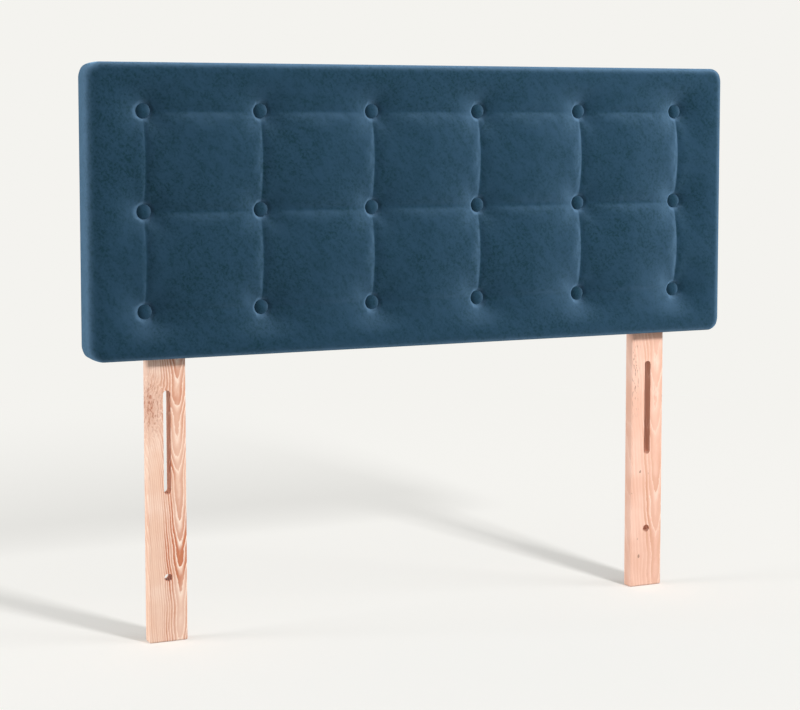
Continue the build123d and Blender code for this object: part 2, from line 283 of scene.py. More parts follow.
# %% Lamps
lamps = {
    "key_lamp": {"place": (0.68, -2.10, 1.45), "target": (0, 0, 0.4), "size": 0.34, "power": 47.5},
    "right_lamp": {"place": (5.2, -2.9, 2.2), "target": (0, 0, 0.45), "size": 2.7, "power": 99.0},
    "left_lamp": {"place": (-6.0, 0.80, 0.7), "target": (-0.2, 0, 0.4), "size": 2.4, "power": 300.0},
}


def lamp_direction(lamp):
    """The way a lamp looks, one long."""
    way = np.array(lamp["target"]) - np.array(lamp["place"])
    return way / np.linalg.norm(way)


def add_lamp(name, lamp):
    """A square lamp that faces its target."""
    way = lamp_direction(lamp)
    flat = math.hypot(way[0], way[1])
    turn = (math.atan2(flat, -way[2]), 0, math.atan2(way[1], way[0]) - upright)
    clear_selection()
    bpy.ops.object.light_add(type="AREA", location=lamp["place"], rotation=turn)
    light = bpy.context.object
    light.name = name
    light.data.size = lamp["size"]
    light.data.energy = lamp["power"]


for name, lamp in lamps.items():
    add_lamp(name, lamp)
print(len(lamps), "lamps")

# %% [markdown]
# The floor and the world show one pale grey to the camera, so no horizon is seen. Near the object
# the floor is a real matt surface that takes shadows. The lamps light it unevenly, so what the
# matt surface lacks to the plain grey is worked out from the lamps and added to what the camera
# sees. The object hides a little of the world's light from the floor, so slightly less than all of
# it is counted. Where something stands in the way of a lamp, that light is missing: the shadow.

# %% How the floor is lit
background = colour(244, 243, 239)
ambient_strength = 0.39
floor_size = 14.0
floor_colour = (0.80, 0.79, 0.77)
bounce_share = 0.62
counted_share = 0.965
shadow_near, shadow_far = 0.6, 2.3


def seen_directly(tree):
    """1 where the camera, or a mirror or glass, looks at this, and 0 for the light it gives."""
    rays = add_node(tree, "ShaderNodeLightPath").outputs
    mirrored = calculate(tree, "MAXIMUM", rays["Is Glossy Ray"], rays["Is Transmission Ray"])
    return calculate(tree, "MAXIMUM", rays["Is Camera Ray"], mirrored)


def lamp_on_floor(tree, place, lamp):
    """How brightly a lamp lights the floor at a place, from its height, distance and direction."""
    height = lamp["place"][2] - floor_z
    away = combine(tree, "SUBTRACT", place, lamp["place"])
    ahead = combine(tree, "DOT_PRODUCT", away, tuple(lamp_direction(lamp)), "Value")
    squared = combine(tree, "DOT_PRODUCT", away, away, "Value")
    fourth = times(tree, squared, squared)
    strength = lamp["power"] * height / math.pi**2
    lit = times(tree, calculate(tree, "MAXIMUM", ahead, 0.0), strength)
    return calculate(tree, "DIVIDE", lit, fourth)


# %% The floor
floor_material = bpy.data.materials.new("pale_floor")
floor_material.use_nodes = True
tree = floor_material.node_tree
tree.nodes.clear()
place = add_node(tree, "ShaderNodeTexCoord").outputs["Object"]
light_sum = ambient_strength
for lamp in lamps.values():
    light_sum = calculate(tree, "ADD", light_sum, lamp_on_floor(tree, place, lamp))
far_away = add_node(tree, "ShaderNodeVectorMath", {0: place}, operation="LENGTH").outputs["Value"]
matt_share = rescale(tree, far_away, shadow_near, shadow_far, 1.0, 0.0)
seen = seen_directly(tree)
bounced = times(tree, calculate(tree, "SUBTRACT", 1.0, seen), bounce_share)
shown = calculate(tree, "MULTIPLY_ADD", seen, matt_share, bounced)
lit_colour = combine(tree, "SCALE", floor_colour, light_sum)
matt_light = combine(tree, "SCALE", lit_colour, times(tree, matt_share, counted_share))
lacking = combine(tree, "SUBTRACT", background[:3], matt_light)
matt_colour = combine(tree, "SCALE", floor_colour, shown)
matt = add_node(tree, "ShaderNodeBsdfDiffuse", {"Color": matt_colour})
plain = add_node(tree, "ShaderNodeEmission", {"Color": lacking, "Strength": seen})
added = add_node(tree, "ShaderNodeAddShader", {0: matt.outputs[0], 1: plain.outputs[0]})
add_node(tree, "ShaderNodeOutputMaterial", {"Surface": added.outputs[0]})

clear_selection()
bpy.ops.mesh.primitive_plane_add(size=floor_size, location=(0, 0, floor_z))
floor = bpy.context.object
floor.name = "floor"
floor.data.materials.append(floor_material)
settle(floor)
floor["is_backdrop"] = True
print("floor at", round(floor_z, 4))

# %% The world
world = bpy.data.worlds.new("studio")
bpy.context.scene.world = world
world.use_nodes = True
tree = world.node_tree
tree.nodes.clear()
ambient = add_node(tree, "ShaderNodeBackground", {"Color": (1, 1, 1, 1), "Strength": ambient_strength})
backdrop = add_node(tree, "ShaderNodeBackground", {"Color": background, "Strength": 1.0})
shaders = {0: seen_directly(tree), 1: ambient.outputs[0], 2: backdrop.outputs[0]}
mixed = add_node(tree, "ShaderNodeMixShader", shaders)
add_node(tree, "ShaderNodeOutputWorld", {"Surface": mixed.outputs[0]})
print("world of strength", ambient_strength)

# %% [markdown]
# ## The velvet cover
#
# The cover is one skin of velvet over foam. It starts as a grid as large as the flat of the front,
# whose lines are drawn together where the velvet is drawn in, so that the folds get fine faces and
# the plain middle of each pillow gets few. The grid's edge is then extruded ring by ring round the
# foam's edge, along the sides and a little way round the back, as the real cloth goes. The edge is
# rounded further back at the two ends than along the top, where the velvet is pulled tighter.

# %% Sizes of the cover
edge_width = 15 * MM
top_edge_depth, side_edge_depth = 12 * MM, 22 * MM
corner_radius = 18 * MM
start_y = panel_low.y - 1.0 * MM
pillow_lines, row_lines = 36, 30
side_lines, end_lines = 18, 14
drawn_together = 0.68
front_half_width = panel_width / 2 - edge_width
front_half_height = panel_height / 2 - edge_width


def spread_lines(stops, counts):
    """Grid lines between stops, closer together at each stop than halfway."""
    lines = [stops[0]]
    for low, high, count in zip(stops, stops[1:], counts):
        for step in range(1, count + 1):
            t = step / count
            eased = t - drawn_together * math.sin(2 * math.pi * t) / (2 * math.pi)
            lines.append(low + (high - low) * eased)
    return np.array(lines)


row_heights = [z - panel_middle_z for z in row_zs]
column_stops = [-front_half_width, *column_xs, front_half_width]
row_stops = [-front_half_height, *row_heights, front_half_height]
line_xs = spread_lines(column_stops, [side_lines] + [pillow_lines] * (column_count - 1) + [side_lines])
line_zs = spread_lines(row_stops, [end_lines] + [row_lines] * (row_count - 1) + [end_lines])
print("flat front", round(2 * front_half_width, 3), "x", round(2 * front_half_height, 3), "m")

# %% The grid of the front
clear_selection()
across, up = len(line_xs) - 1, len(line_zs) - 1
turned = (upright, 0, 0)
bpy.ops.mesh.primitive_grid_add(x_subdivisions=across, y_subdivisions=up, size=1, rotation=turned)
cover = bpy.context.object
cover.name = "tufted_velvet_cover"
settle(cover)
points = read_points(cover)
column_index = np.rint((points[:, 0] + 0.5) * across).astype(int)
row_index = np.rint((points[:, 2] + 0.5) * up).astype(int)
points = np.stack([line_xs[column_index], np.full(len(points), start_y), line_zs[row_index]], 1)
print("front grid", across, "x", up)

# %% [markdown]
# Each point on the grid's edge remembers the middle of its corner and the way outwards, as two
# attributes. An extruded point keeps them, so a ring can be laid at any distance inside the
# panel's outline. Where a ring lies deeper than the corner's radius, its points are held to a
# square corner, and those that meet there are merged at the end. Round each button the grid's
# squares are drawn into circles, so that the pit's lip is round.

# %% Rounded corners, the way outwards, and rings round the buttons
flat_radius = corner_radius - edge_width
centre_limits = np.array([front_half_width - flat_radius, front_half_height - flat_radius])
flat_points = points[:, [0, 2]]
centres = np.clip(flat_points, -centre_limits, centre_limits)
reach = flat_points - centres
lengths = np.linalg.norm(reach, axis=1)
outside = lengths > flat_radius
flat_points[outside] = (centres + reach * (flat_radius / np.maximum(lengths, 1e-9))[:, None])[outside]
points[:, 0], points[:, 2] = flat_points[:, 0], flat_points[:, 1]
points[:, 2] += panel_middle_z


def nearest(values, lines):
    """Distance to the nearest of some lines, and which one it is."""
    distances = np.abs(values[:, None] - np.array(lines)[None, :])
    return distances.min(axis=1), distances.argmin(axis=1)


ring_near, ring_far = 17 * MM, 34 * MM
column, row = nearest(points[:, 0], column_xs)[1], nearest(points[:, 2], row_zs)[1]
off_x, off_z = points[:, 0] - np.array(column_xs)[column], points[:, 2] - np.array(row_zs)[row]
square = np.maximum(np.abs(off_x), np.abs(off_z))
towards_ring = 1 - np.clip((square - ring_near) / (ring_far - ring_near), 0, 1)
scale = 1 + towards_ring * (square / np.maximum(np.hypot(off_x, off_z), 1e-9) - 1)
points[:, 0] += off_x * (scale - 1)
points[:, 2] += off_z * (scale - 1)
write_points(cover, points)

ways = np.zeros((len(points), 3))
ways[:, [0, 2]] = reach / np.maximum(lengths, 1e-9)[:, None]
middles = np.zeros((len(points), 3))
middles[:, [0, 2]] = centres
for name, values in (("outwards", ways), ("corner_middle", middles)):
    attribute = cover.data.attributes.new(name, "FLOAT_VECTOR", "POINT")
    attribute.data.foreach_set("vector", values.ravel())
print(int(outside.sum()), "points rounded off,", int((scale != 1).sum()), "drawn into circles")


def read_vectors(piece, name):
    values = np.zeros(len(piece.data.vertices) * 3)
    piece.data.attributes[name].data.foreach_get("vector", values)
    return values.reshape(-1, 3)


# %% Rings round the edge, the sides and the back
def select_rim(piece):
    """Selects the open edge of a sheet."""
    make_active(piece)
    with edit_mode():
        bpy.ops.mesh.select_mode(type="EDGE")
        bpy.ops.mesh.select_all(action="DESELECT")
        bpy.ops.mesh.select_non_manifold(
            use_wire=False, use_multi_face=False, use_non_contiguous=False, use_verts=False
        )


def lay_ring(piece, inset, y, side_y=None):
    """Moves the selected points to a ring inside the outline, at its own depth at the sides."""
    points, outwards = read_points(piece), read_vectors(piece, "outwards")
    chosen = np.zeros(len(points), bool)
    piece.data.vertices.foreach_get("select", chosen)
    ring = read_vectors(piece, "corner_middle") + outwards * (corner_radius - inset)
    half_width, half_height = panel_width / 2 - inset, panel_height / 2 - inset
    points[chosen, 0] = np.clip(ring[chosen, 0], -half_width, half_width)
    points[chosen, 2] = np.clip(ring[chosen, 2], -half_height, half_height) + panel_middle_z
    sideways = np.abs(outwards[:, 0])
    points[chosen, 1] = (y + ((side_y or y) - y) * sideways)[chosen]
    write_points(piece, points)


back_y = panel_high.y
return_width = 30 * MM
hem_thickness = 1 * MM
rounding_steps = 6
bulge = 0.5 * MM
side_start_y = start_y + side_edge_depth
# Each ring is its distance inside the outline and its place from front to back, and then, where it
# differs, its place from front to back at the sides.
rings = []
for step in range(1, rounding_steps + 1):
    angle = upright * step / rounding_steps
    inset = edge_width * (1 - math.sin(angle)) - bulge * (step / rounding_steps) ** 3
    bend = 1 - math.cos(angle)
    rings.append((inset, start_y + top_edge_depth * bend**1.5, start_y + side_edge_depth * bend))
rings += [(-bulge, side_start_y / 2), (-0.4 * MM, 0), (-0.2 * MM, 8 * MM), (0, 14 * MM), (0, 17 * MM)]
rings += [(0.4 * MM, back_y - 0.9 * MM), (1.9 * MM, back_y), (6 * MM, back_y)]
rings += [(17 * MM, back_y), (return_width - 1 * MM, back_y)]
rings += [(return_width, back_y - hem_thickness / 2), (return_width - 0.3 * MM, back_y - hem_thickness)]
select_rim(cover)
for ring in rings:
    with edit_mode():
        bpy.ops.mesh.extrude_region_move()
    lay_ring(cover, *ring)
with edit_mode():
    bpy.ops.mesh.select_all(action="SELECT")
    bpy.ops.mesh.remove_doubles(threshold=0.01 * MM)
print("cover with", len(rings), "rings and", len(cover.data.polygons), "faces")

# %% [markdown]
# Each pillow is a low dome, and the strip round the buttons is a long roll. Between two buttons
# the velvet folds in. The upright folds are sharp. The level ones are round at the bottom, begin
# some way from the buttons and grow fainter from the top row down. At a button both run into a
# bell-shaped pit. The depths are joined so that the deepest one wins without a visible step, and
# towards the edge of the front they come back to the flat.

# %% How far each place stands out or is drawn in
dome_height, roll_height = 4.4 * MM, 0.6 * MM
upright_depth, upright_flank = 5.8 * MM, 11.5 * MM
level_depths, level_flank = [0.4 * MM, 4.6 * MM, 6.0 * MM], 14 * MM  # from the lowest row up
level_rounding = 2.8 * MM
level_dome_share, border_fade = 0.42, 0.22
fade_length = 9 * MM
level_gap = 32 * MM
seat_radius, wall_width, bell_width = 10.6 * MM, 1.2 * MM, 33 * MM
bell_depth = 15.2 * MM
joining_power, border_power = 2.2, 3
button_depth = 5.6 * MM
seat_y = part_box("button_row1_column1")[0].y + button_depth
pit_depth = seat_y - start_y
wall_depth = pit_depth - bell_depth


def past_ends(values, lines):
    """How far beyond the first or the last line a value lies."""
    return np.maximum(np.maximum(lines[0] - values, values - lines[-1]), 0)


def arch(values, stops):
    """0 at each stop, 1 halfway between two, along a parabola."""
    cell = np.clip(np.searchsorted(stops, values) - 1, 0, len(stops) - 2)
    stops = np.array(stops)
    share = np.clip((values - stops[cell]) / (stops[cell + 1] - stops[cell]), 0, 1)
    return 1 - (2 * share - 1) ** 2


def past_shares(x, z):
    """How far beyond the outer buttons, across and up: 0 at them, 1 at the edge of the flat front."""
    past_x = past_ends(x, column_xs) / (column_xs[0] - column_stops[0])
    past_z = past_ends(z, row_zs) / (row_zs[0] - row_stops_z[0])
    return np.clip(past_x, 0, 1), np.clip(past_z, 0, 1)


def dome(x, z):
    """How far the foam stands proud of the flat front."""
    across = arch(np.clip(x, column_xs[0], column_xs[-1]), column_stops)
    up = arch(np.clip(z, row_zs[0], row_zs[-1]), row_stops_z)
    past = np.clip(np.hypot(*past_shares(x, z)), 0, 1)
    pillows = dome_height * across * (level_dome_share + (1 - level_dome_share) * up)
    return pillows * np.exp(-((past / border_fade) ** 2)) + roll_height * np.sin(past * math.pi) ** 2


def tuft_depth(x, z):
    """How far the folds and pits draw the velvet in."""
    (off_x, _), (off_z, row) = nearest(x, column_xs), nearest(z, row_zs)
    ends_x = np.exp(-((past_ends(x, column_xs) / fade_length) ** 2))
    ends_z = np.exp(-((past_ends(z, row_zs) / fade_length) ** 2))
    uprights = upright_depth * np.exp(-off_x / upright_flank) * ends_z
    off_level = np.hypot(off_z, level_rounding) - level_rounding
    away = 1 - np.exp(-((off_x / level_gap) ** 2))
    levels = np.array(level_depths)[row] * np.exp(-off_level / level_flank) * ends_x * away
    outside_seat = np.maximum(np.hypot(off_x, off_z) - seat_radius, 0)
    wall = wall_depth * (1 - np.clip(outside_seat / wall_width, 0, 1))
    pits = bell_depth * np.exp(-outside_seat / bell_width) + wall
    past_x, past_z = past_shares(x, z)
    level_off = ((1 - past_x**border_power) * (1 - past_z**border_power)) ** 2
    total = uprights**joining_power + levels**joining_power + pits**joining_power
    return total ** (1 / joining_power) * level_off


# %% Domes, folds and pits
row_stops_z = [stop + panel_middle_z for stop in row_stops]
points = read_points(cover)
on_front = points[:, 1] < start_y + 0.1 * MM
front_x, front_z = points[on_front, 0], points[on_front, 2]
pit_share = np.clip(tuft_depth(front_x, front_z) / pit_depth, 0, 1)
points[on_front, 1] += tuft_depth(front_x, front_z) - dome(front_x, front_z) * (1 - pit_share)
write_points(cover, points)
print("front from", round(points[on_front, 1].min(), 4), "to", round(points[on_front, 1].max(), 4))

# %% [markdown]
# The foam pushes the velvet out between the buttons. A cloth simulation with air pressure does the
# same: the folds, the pits and everything from the edge on are pinned, and the rest swells for
# twenty frames. A cap keeps any point from moving more than about two millimetres, and the
# movement fades out towards the folds and the edge, so that no crease shows where the cloth is held.

# %% Where the velvet is held, and how freely it moves
half_sizes = np.array([panel_width / 2, panel_height / 2])
pinned_width, pinned_round_pit, pinned_inside_edge = 0.6 * MM, 4 * MM, 10 * MM
upright_softness, level_softness, edge_softness = 3 * MM, 6 * MM, 11 * MM


def pin_mask(points):
    """True where the velvet is held, False where the foam may push it out."""
    (off_x, _), (off_z, _) = nearest(points[:, 0], column_xs), nearest(points[:, 2], row_zs)
    on_upright = (off_x < pinned_width) & (past_ends(points[:, 2], row_zs) == 0)
    on_level = (off_z < pinned_width) & (past_ends(points[:, 0], column_xs) == 0)
    in_pit = np.hypot(off_x, off_z) < seat_radius + pinned_round_pit
    inset = np.min(half_sizes - np.abs(points[:, [0, 2]] - [0, panel_middle_z]), axis=1)
    return on_upright | on_level | in_pit | (inset < edge_width + pinned_inside_edge)


def looseness(points):
    """How freely each point moves: fully in a pillow, not at all on a fold or towards the edge."""
    x, z = points[:, 0], points[:, 2]
    off_x, off_z = nearest(x, column_xs)[0], nearest(z, row_zs)[0]
    off_uprights = 1 - np.exp(-((off_x / upright_softness) ** 2))
    off_levels = 1 - np.exp(-((off_z / level_softness) ** 2))
    past = np.hypot(past_ends(x, column_xs), past_ends(z, row_zs))
    return off_uprights * off_levels * np.exp(-((past / edge_softness) ** 2))


# %% Foam pressure
swell_cap = 2.2 * MM
swell_frames = 20
foam_pressure = 4.0


def swell(piece, pinned, pressure, cap):
    """Pushes the loose points out with cloth pressure, by the cap at most."""
    before = read_points(piece)
    group = piece.vertex_groups.new(name="held")
    group.add([int(i) for i in np.flatnonzero(pinned)], 1.0, "REPLACE")
    make_active(piece)
    cloth = piece.modifiers.new("Cloth", "CLOTH")
    settings = {
        "quality": 6, "mass": 0.2, "tension_stiffness": 12, "compression_stiffness": 12,
        "shear_stiffness": 6, "bending_stiffness": 0.6,
        "shrink_min": -0.01, "vertex_group_mass": group.name,
        "use_pressure": True, "uniform_pressure_force": pressure,
    }
    for name, value in settings.items():
        setattr(cloth.settings, name, value)
    cloth.settings.effector_weights.gravity = 0
    cloth.collision_settings.use_collision = False
    for frame_number in range(1, swell_frames + 1):
        bpy.context.scene.frame_set(frame_number)
    bpy.ops.object.modifier_apply(modifier=cloth.name)
    bpy.context.scene.frame_set(1)
    moved = read_points(piece) - before
    far = np.linalg.norm(moved, axis=1)
    capped = cap * np.tanh(far / cap) * looseness(before)
    write_points(piece, before + moved * (capped / np.maximum(far, 1e-9))[:, None])
    return far.max()


furthest = swell(cover, pin_mask(read_points(cover)), foam_pressure, swell_cap)
print("the foam pushed the velvet out by up to", round(furthest / MM, 1), "mm before the cap")

# %% [markdown]
# The legs pass behind the velvet and in under the panel, so the underside and the turned-in edge
# are cut away where a leg goes in.

# %% Notches for the legs
leg_room = 0.5 * MM
notch_head_room, cut_reach = 5 * MM, 15 * MM
notch_top_z = panel_low.z + return_width + notch_head_room
for low_x, high_x in leg_gaps(leg_room):
    for x in (low_x, high_x):
        behind = lambda f: f.center.y > -1 * MM and f.center.z < notch_top_z
        cut_where(cover, lambda f: behind(f) and abs(f.center.x - x) < cut_reach, (x, 0, 0), (1, 0, 0))
    in_notch = lambda f: f.center.y > 0 and f.center.z < notch_top_z and low_x < f.center.x < high_x
    count = remove_where(cover, in_notch)
    print("notch from", round(low_x, 4), "to", round(high_x, 4), "took", count, "faces")

# %% Finishing the cover
apply_modifier(cover, "SUBSURF", levels=1, render_levels=1)
bpy.ops.object.shade_smooth()
for name in ("outwards", "corner_middle"):
    cover.data.attributes.remove(cover.data.attributes[name])
cover.vertex_groups.clear()
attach(cover, "panel")
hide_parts("velvet_cover", "foam_pad")
print("cover:", len(cover.data.polygons), "faces")

# %% [markdown]
# ## Covered buttons
#
# A covered button is a shallow metal dome with a scrap of the same velvet pulled over it and
# gathered behind. One is modelled from a short cylinder, whose front is inset and pushed out into
# a dome, and whose rim is rolled. The others are copies with their own mesh.

# %% One button
button_low, button_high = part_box("button_row1_column1")
button_radius = (button_high.x - button_low.x) / 2
button_sides = 48
rim_back_y = button_low.y + button_depth
button_rise = 3.3 * MM
rim_front_y = button_low.y + button_rise
cap_radius = 17 * MM
ring_radii = [button_radius, *(r * MM for r in (9.8, 9.1, 8.1, 6.9, 5.4, 3.7, 1.9))]


def cap_height(radius):
    """Height of the domed front over its rim."""
    return math.sqrt(cap_radius**2 - radius**2) - math.sqrt(cap_radius**2 - button_radius**2)


def select_front(piece):
    """Selects the one large face at the front of the button."""
    front_index = min(piece.data.polygons, key=lambda f: f.center.y).index
    select_where(piece, lambda f: f.index == front_index)


clear_selection()
bpy.ops.mesh.primitive_cylinder_add(
    vertices=button_sides, radius=button_radius, depth=rim_back_y - rim_front_y,
    location=(0, (rim_front_y + rim_back_y) / 2, 0), rotation=turned,
)
master_button = bpy.context.object
settle(master_button)
for outer, inner in zip(ring_radii, ring_radii[1:]):
    select_front(master_button)
    with edit_mode():
        bpy.ops.mesh.inset(thickness=outer - inner)
        bpy.ops.transform.translate(value=(0, cap_height(outer) - cap_height(inner), 0))
select_front(master_button)
with edit_mode():
    bpy.ops.mesh.poke()
print("button", len(master_button.data.polygons), "faces, radius", round(button_radius / MM, 2), "mm")

# %% Roll the rim and gather the cloth
rolled = {"width": 0.4 * MM, "segments": 2, "limit_method": "ANGLE", "angle_limit": math.radians(50)}
apply_modifier(master_button, "BEVEL", **rolled)
apply_modifier(master_button, "SUBSURF", levels=1, render_levels=1)
pleats, pleat_depth, gathered_from = 17, 0.07 * MM, 0.72
points = read_points(master_button)
radius = np.hypot(points[:, 0], points[:, 2])
angle = np.arctan2(points[:, 2], points[:, 0])
near_rim = np.clip((radius / button_radius - gathered_from) / (1 - gathered_from), 0, 1) ** 2
gather = pleat_depth * near_rim * np.sin(pleats * angle + 1.3 * np.sin(3 * angle))
points[:, 0] += gather * np.cos(angle)
points[:, 2] += gather * np.sin(angle)
write_points(master_button, points)
bpy.ops.object.shade_smooth()
print("button with", pleats, "gathers and", len(master_button.data.polygons), "faces")

# %% Eighteen buttons, each over its own node
turn_between = 2.4  # so that no two buttons show the same gathers
buttons = []
for row in range(1, row_count + 1):
    for column in range(1, column_count + 1):
        node = f"button_row{row}_column{column}"
        place = middle(node)
        copy = master_button.copy()
        copy.data = master_button.data.copy()
        copy.name = f"velvet_button_row{row}_column{column}"
        bpy.context.scene.collection.objects.link(copy)
        turn = turn_between * (row * column_count + column)
        points = read_points(copy)
        x, z = points[:, 0].copy(), points[:, 2].copy()
        points[:, 0] = x * math.cos(turn) - z * math.sin(turn) + place.x
        points[:, 2] = x * math.sin(turn) + z * math.cos(turn) + place.z
        write_points(copy, points)
        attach(copy, "panel")
        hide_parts(node)
        buttons.append(copy)
bpy.data.objects.remove(master_button)
print(len(buttons), "buttons")

# %% [markdown]
# ## Back cloth
#
# A thin black non-woven cloth closes the hollow frame behind. It is cut out round the legs and
# stapled down, so it lies flat at its edges and sags a little into the hollows between the rails.

# %% The cloth, cut and sagged
cloth_low, cloth_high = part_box("back_cloth")
cloth_width, cloth_height = cloth_high.x - cloth_low.x, cloth_high.z - cloth_low.z
cloth_room, cloth_head_room = 3 * MM, 6 * MM
cloth_top_z = leg_high.z + cloth_head_room
cloth_columns, cloth_rows = 160, 60
clear_selection()
bpy.ops.mesh.primitive_grid_add(
    x_subdivisions=cloth_columns, y_subdivisions=cloth_rows, size=1, rotation=turned
)
back_cloth = bpy.context.object
back_cloth.name = "black_back_cloth"
back_cloth.scale = (cloth_width, cloth_height, 1)
back_cloth.location = (0, cloth_low.y + 0.1 * MM, panel_middle_z)
settle(back_cloth)
cloth_cuts = leg_gaps(cloth_room)
for x in (*cloth_cuts[0], *cloth_cuts[1]):
    cut_where(back_cloth, lambda f: True, (x, 0, 0), (1, 0, 0))
cut_where(back_cloth, lambda f: True, (0, 0, cloth_top_z), (0, 0, 1))
in_cut = lambda f: f.center.z < cloth_top_z and any(a < f.center.x < b for a, b in cloth_cuts)
remove_where(back_cloth, in_cut)

# %% Sag and thickness of the cloth
sag, ripple_share = 1.2 * MM, 0.12
hollow_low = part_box("frame_bottom_rail")[1].z
hollow_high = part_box("frame_top_rail")[0].z
stile_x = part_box("frame_centre_stile")[1].x
guide_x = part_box("right_leg_guide")[0].x
points = read_points(back_cloth)
across_hollow = np.clip((np.abs(points[:, 0]) - stile_x) / (guide_x - stile_x), 0, 1)
up_hollow = np.clip((points[:, 2] - hollow_low) / (hollow_high - hollow_low), 0, 1)
bowl = np.sin(np.pi * across_hollow) * np.sin(np.pi * up_hollow)
x, z = points[:, 0], points[:, 2]
ripple = ripple_share * np.sin(x * 61 + z * 23) * np.sin(z * 47 - x * 11)
points[:, 1] -= sag * bowl * (1 + ripple)
write_points(back_cloth, points)
with edit_mode():
    bpy.ops.mesh.select_all(action="SELECT")
    bpy.ops.mesh.flip_normals()
apply_modifier(back_cloth, "SOLIDIFY", thickness=0.4 * MM, offset=1)
bpy.ops.object.shade_smooth_by_angle(angle=math.radians(40))
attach(back_cloth, "panel")
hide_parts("back_cloth")
print("back cloth sags by about", round(sag / MM, 1), "mm,", len(back_cloth.data.polygons), "faces")

# %% [markdown]
# ## Velvet
#
# Velvet is a dense pile. Seen straight on it swallows light and looks dark, and seen along the
# surface its fibre ends catch light. The shader's sheen gives part of that. The rest is a painted
# sheen: Layer Weight mixes a lighter blue into the colour where the surface is seen aslant. On the
# cover, faces that look up get more of it, a painted light from above. On the buttons the side that
# looks right gets painted light and the side that looks left a darker colour, a painted shade. Where
# a hand has stroked the pile it turns lighter or darker in slanting marks. One group makes those
# marks and the fine grain, for the cover and the buttons.

# %% Starting a node group
def new_group(name, inputs, outputs):
    """An empty node group, what its named inputs bring in, and the node that takes its outputs."""
    group = bpy.data.node_groups.new(name, "ShaderNodeTree")
    for label, kind, value in inputs:
        socket = group.interface.new_socket(label, in_out="INPUT", socket_type=kind)
        if value is not None:
            socket.default_value = value
    for label, kind in outputs:
        group.interface.new_socket(label, in_out="OUTPUT", socket_type=kind)
    start = add_node(group, "NodeGroupInput")
    brought = {label: start.outputs[label] for label, *_ in inputs}
    return group, brought, add_node(group, "NodeGroupOutput")


FLOAT, VECTOR = "NodeSocketFloat", "NodeSocketVector"

# %% The pile, as a node group
stroke_angle, stroke_scale = 0.7, (1.3, 1.0, 0.65)


def make_pile_group():
    """The lay of the pile, from 0 for dark to 1 for light, and its height."""
    inputs = [("Vector", VECTOR, None), ("Patch Scale", FLOAT, 26.0), ("Grain Scale", FLOAT, 420.0)]
    group, brought, end = new_group("velvet_pile", inputs, [("Lay", FLOAT), ("Height", FLOAT)])
    vector, patch_scale, grain_scale = brought.values()
    slant = {"Vector": vector, "Axis": (0, 1, 0), "Angle": stroke_angle}
    slanted = add_node(group, "ShaderNodeVectorRotate", slant).outputs[0]
    stroked = combine(group, "MULTIPLY", slanted, stroke_scale)
    patches = rescale(group, noise(group, stroked, patch_scale, 8.0, 0.8), 0.42, 0.58)
    broad_scale = times(group, patch_scale, 0.16)
    broad = rescale(group, noise(group, vector, broad_scale), 0.34, 0.66)
    fine = rescale(group, noise(group, vector, grain_scale, 2.0, 0.6), 0.36, 0.58)
    spread = calculate(group, "MULTIPLY_ADD", broad, -0.22, 0.57)
    spread = calculate(group, "MULTIPLY_ADD", patches, -0.26, spread)
    lay = calculate(group, "MULTIPLY_ADD", patches, 0.51, times(group, broad, 0.27))
    lay = calculate(group, "MULTIPLY_ADD", fine, spread, lay)
    height = times(group, patches, 0.65)
    height = calculate(group, "MULTIPLY_ADD", fine, 0.35, height)
    set_inputs(group, end, {"Lay": lay, "Height": height})
    return group


pile_group = make_pile_group()
print("pile group with", len(pile_group.nodes), "nodes")


# %% Starting a material
def use_group(tree, group, inputs):
    """Places a group in a material."""
    return add_node(tree, "ShaderNodeGroup", inputs, node_tree=group)


def add_bump(tree, shader, height, strength, distance):
    """Gives a shader the relief of a height."""
    inputs = {"Height": height, "Strength": strength, "Distance": distance}
    bump = add_node(tree, "ShaderNodeBump", inputs)
    tree.links.new(bump.outputs[0], shader.inputs["Normal"])


def new_material(name):
    """A material with a shader and its output, and the place of each point on the piece."""
    material = bpy.data.materials.new(name)
    material.use_nodes = True
    tree = material.node_tree
    tree.nodes.clear()
    shader = add_node(tree, "ShaderNodeBsdfPrincipled")
    add_node(tree, "ShaderNodeOutputMaterial", {"Surface": shader.outputs[0]})
    place = add_node(tree, "ShaderNodeTexCoord").outputs["Object"]
    return material, tree, shader, place


